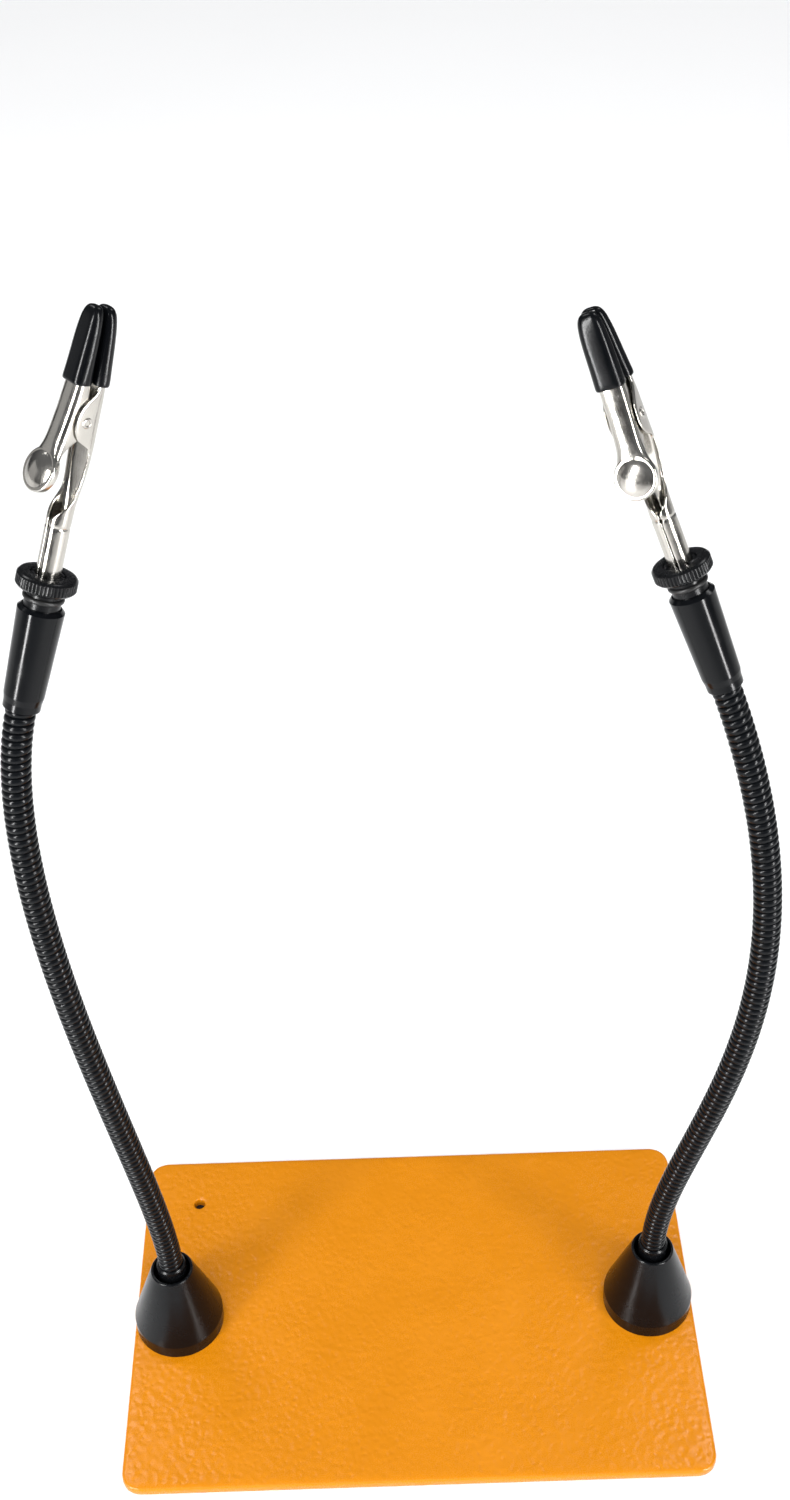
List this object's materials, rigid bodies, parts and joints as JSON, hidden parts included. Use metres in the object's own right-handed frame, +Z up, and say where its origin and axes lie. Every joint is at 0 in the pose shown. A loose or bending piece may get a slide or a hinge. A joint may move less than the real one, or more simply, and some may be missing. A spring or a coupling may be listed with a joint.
{
  "type": "soldering work holder",
  "caption": "Third-hand holder for soldering: steel base plate with magnetic feet, gooseneck arms and swivelling crocodile clips that grip a small circuit board.",
  "frame": {"origin": "centre of the underside of the anti-slip mat, on the bench", "axes": "+X to the right, +Y away from the user, +Z up"},
  "size_m": [0.164, 0.1, 0.2892],
  "materials": {
    "plate_paint": "orange hammered powder coat",
    "mat_rubber": "matt anti-slip sheet",
    "foot_plastic": "gloss black moulding",
    "bare_steel": "plain steel",
    "magnet_nickel": "nickel-plated magnet",
    "neck_black": "semi-gloss black coiled steel",
    "sleeve_black": "gloss black grip",
    "nut_black": "satin black turned metal",
    "o_ring_rubber": "soft rubber",
    "clip_nickel": "bright nickel-plated sheet steel",
    "tip_pvc": "gloss black soft sleeve"
  },
  "bodies": {
    "base": {"base_plate": "plate_paint", "base_mat": "mat_rubber"},
    "left_foot": {"left_foot_housing": "foot_plastic", "left_magnet_cup": "bare_steel", "left_foot_magnet": "magnet_nickel"},
    "left_arm": {"left_neck_ferrule": "neck_black", "left_foot_screw": "bare_steel", "left_gooseneck_1": "neck_black", "left_bend_1": "neck_black"},
    "left_lower_neck": {"left_gooseneck_2": "neck_black", "left_bend_2": "neck_black"},
    "left_upper_neck": {"left_gooseneck_3": "neck_black", "left_bend_3": "neck_black"},
    "left_head": {"left_gooseneck_4": "neck_black", "left_grip_sleeve": "sleeve_black", "left_spindle": "nut_black", "left_o_ring": "o_ring_rubber"},
    "left_nut": {"left_clamp_nut": "nut_black"},
    "left_clip": {"left_clip_base": "clip_nickel", "left_clip_rivet": "clip_nickel", "left_clip_spring": "bare_steel", "left_base_tip_sleeve": "tip_pvc"},
    "left_lever": {"left_clip_lever": "clip_nickel", "left_lever_tip_sleeve": "tip_pvc"},
    "right_foot": {"right_foot_housing": "foot_plastic", "right_magnet_cup": "bare_steel", "right_foot_magnet": "magnet_nickel"},
    "right_arm": {"right_neck_ferrule": "neck_black", "right_foot_screw": "bare_steel", "right_gooseneck_1": "neck_black", "right_bend_1": "neck_black"},
    "right_lower_neck": {"right_gooseneck_2": "neck_black", "right_bend_2": "neck_black"},
    "right_upper_neck": {"right_gooseneck_3": "neck_black", "right_bend_3": "neck_black"},
    "right_head": {"right_gooseneck_4": "neck_black", "right_grip_sleeve": "sleeve_black", "right_spindle": "nut_black", "right_o_ring": "o_ring_rubber"},
    "right_nut": {"right_clamp_nut": "nut_black"},
    "right_clip": {"right_clip_base": "clip_nickel", "right_clip_rivet": "clip_nickel", "right_clip_spring": "bare_steel", "right_base_tip_sleeve": "tip_pvc"},
    "right_lever": {"right_clip_lever": "clip_nickel", "right_lever_tip_sleeve": "tip_pvc"}
  },
  "joints": [
    {"name": "left_foot_slide", "type": "slide", "parent": "base", "child": "left_foot", "axis": [1, 0, 0], "range_m": [0, 0.035]},
    {"name": "left_arm_turn", "type": "hinge", "parent": "left_foot", "child": "left_arm", "pos_m": [-0.063, -0.0015, 0.0038], "axis": [0, 0, 1], "continuous": true},
    {"name": "left_low_bend", "type": "hinge", "parent": "left_arm", "child": "left_lower_neck", "pos_m": [-0.0656, -0.00222, 0.06088], "axis": [0, 1, 0], "range_deg": [-35, 18], "deforming": ["left_bend_1"]},
    {"name": "left_middle_bend", "type": "hinge", "parent": "left_lower_neck", "child": "left_upper_neck", "pos_m": [-0.07331, -0.00372, 0.11769], "axis": [1, 0, 0], "range_deg": [-35, 35], "deforming": ["left_bend_2"]},
    {"name": "left_high_bend", "type": "hinge", "parent": "left_upper_neck", "child": "left_head", "pos_m": [-0.07818, -0.00266, 0.17451], "axis": [0, 1, 0], "range_deg": [-45, 30], "deforming": ["left_bend_3"]},
    {"name": "left_nut_turn", "type": "hinge", "parent": "left_head", "child": "left_nut", "pos_m": [-0.06608, 0.0101, 0.23938], "axis": [0.286, 0.2545, 0.9238], "range_deg": [0, 270]},
    {"name": "left_clip_turn", "type": "hinge", "parent": "left_head", "child": "left_clip", "pos_m": [-0.06608, 0.0101, 0.23938], "axis": [0.286, 0.2545, 0.9238], "continuous": true},
    {"name": "left_jaw", "type": "hinge", "parent": "left_clip", "child": "left_lever", "pos_m": [-0.05748, 0.01775, 0.26871], "axis": [0.6691, -0.7431, -0.0024], "range_deg": [0, 24], "stiffness_Nm_per_rad": 0.15, "springref_deg": -40.11, "deforming": ["left_clip_spring"]},
    {"name": "right_foot_slide", "type": "slide", "parent": "base", "child": "right_foot", "axis": [-1, 0, 0], "range_m": [0, 0.035]},
    {"name": "right_arm_turn", "type": "hinge", "parent": "right_foot", "child": "right_arm", "pos_m": [0.063, 0, 0.0038], "axis": [0, 0, 1], "continuous": true},
    {"name": "right_low_bend", "type": "hinge", "parent": "right_arm", "child": "right_lower_neck", "pos_m": [0.06698, -0.00137, 0.06061], "axis": [0, 1, 0], "range_deg": [-18, 35], "deforming": ["right_bend_1"]},
    {"name": "right_middle_bend", "type": "hinge", "parent": "right_lower_neck", "child": "right_upper_neck", "pos_m": [0.07795, -0.00404, 0.11617], "axis": [1, 0, 0], "range_deg": [-35, 35], "deforming": ["right_bend_2"]},
    {"name": "right_high_bend", "type": "hinge", "parent": "right_upper_neck", "child": "right_head", "pos_m": [0.07681, -0.00012, 0.17234], "axis": [0, 1, 0], "range_deg": [-30, 45], "deforming": ["right_bend_3"]},
    {"name": "right_nut_turn", "type": "hinge", "parent": "right_head", "child": "right_nut", "pos_m": [0.05601, 0.01368, 0.23517], "axis": [-0.357, 0.226, 0.9063], "range_deg": [0, 270]},
    {"name": "right_clip_turn", "type": "hinge", "parent": "right_head", "child": "right_clip", "pos_m": [0.05601, 0.01368, 0.23517], "axis": [-0.357, 0.226, 0.9063], "continuous": true},
    {"name": "right_jaw", "type": "hinge", "parent": "right_clip", "child": "right_lever", "pos_m": [0.04456, 0.02023, 0.26378], "axis": [0.8667, -0.2816, 0.4116], "range_deg": [0, 24], "stiffness_Nm_per_rad": 0.15, "springref_deg": -40.11, "deforming": ["right_clip_spring"]}
  ]
}
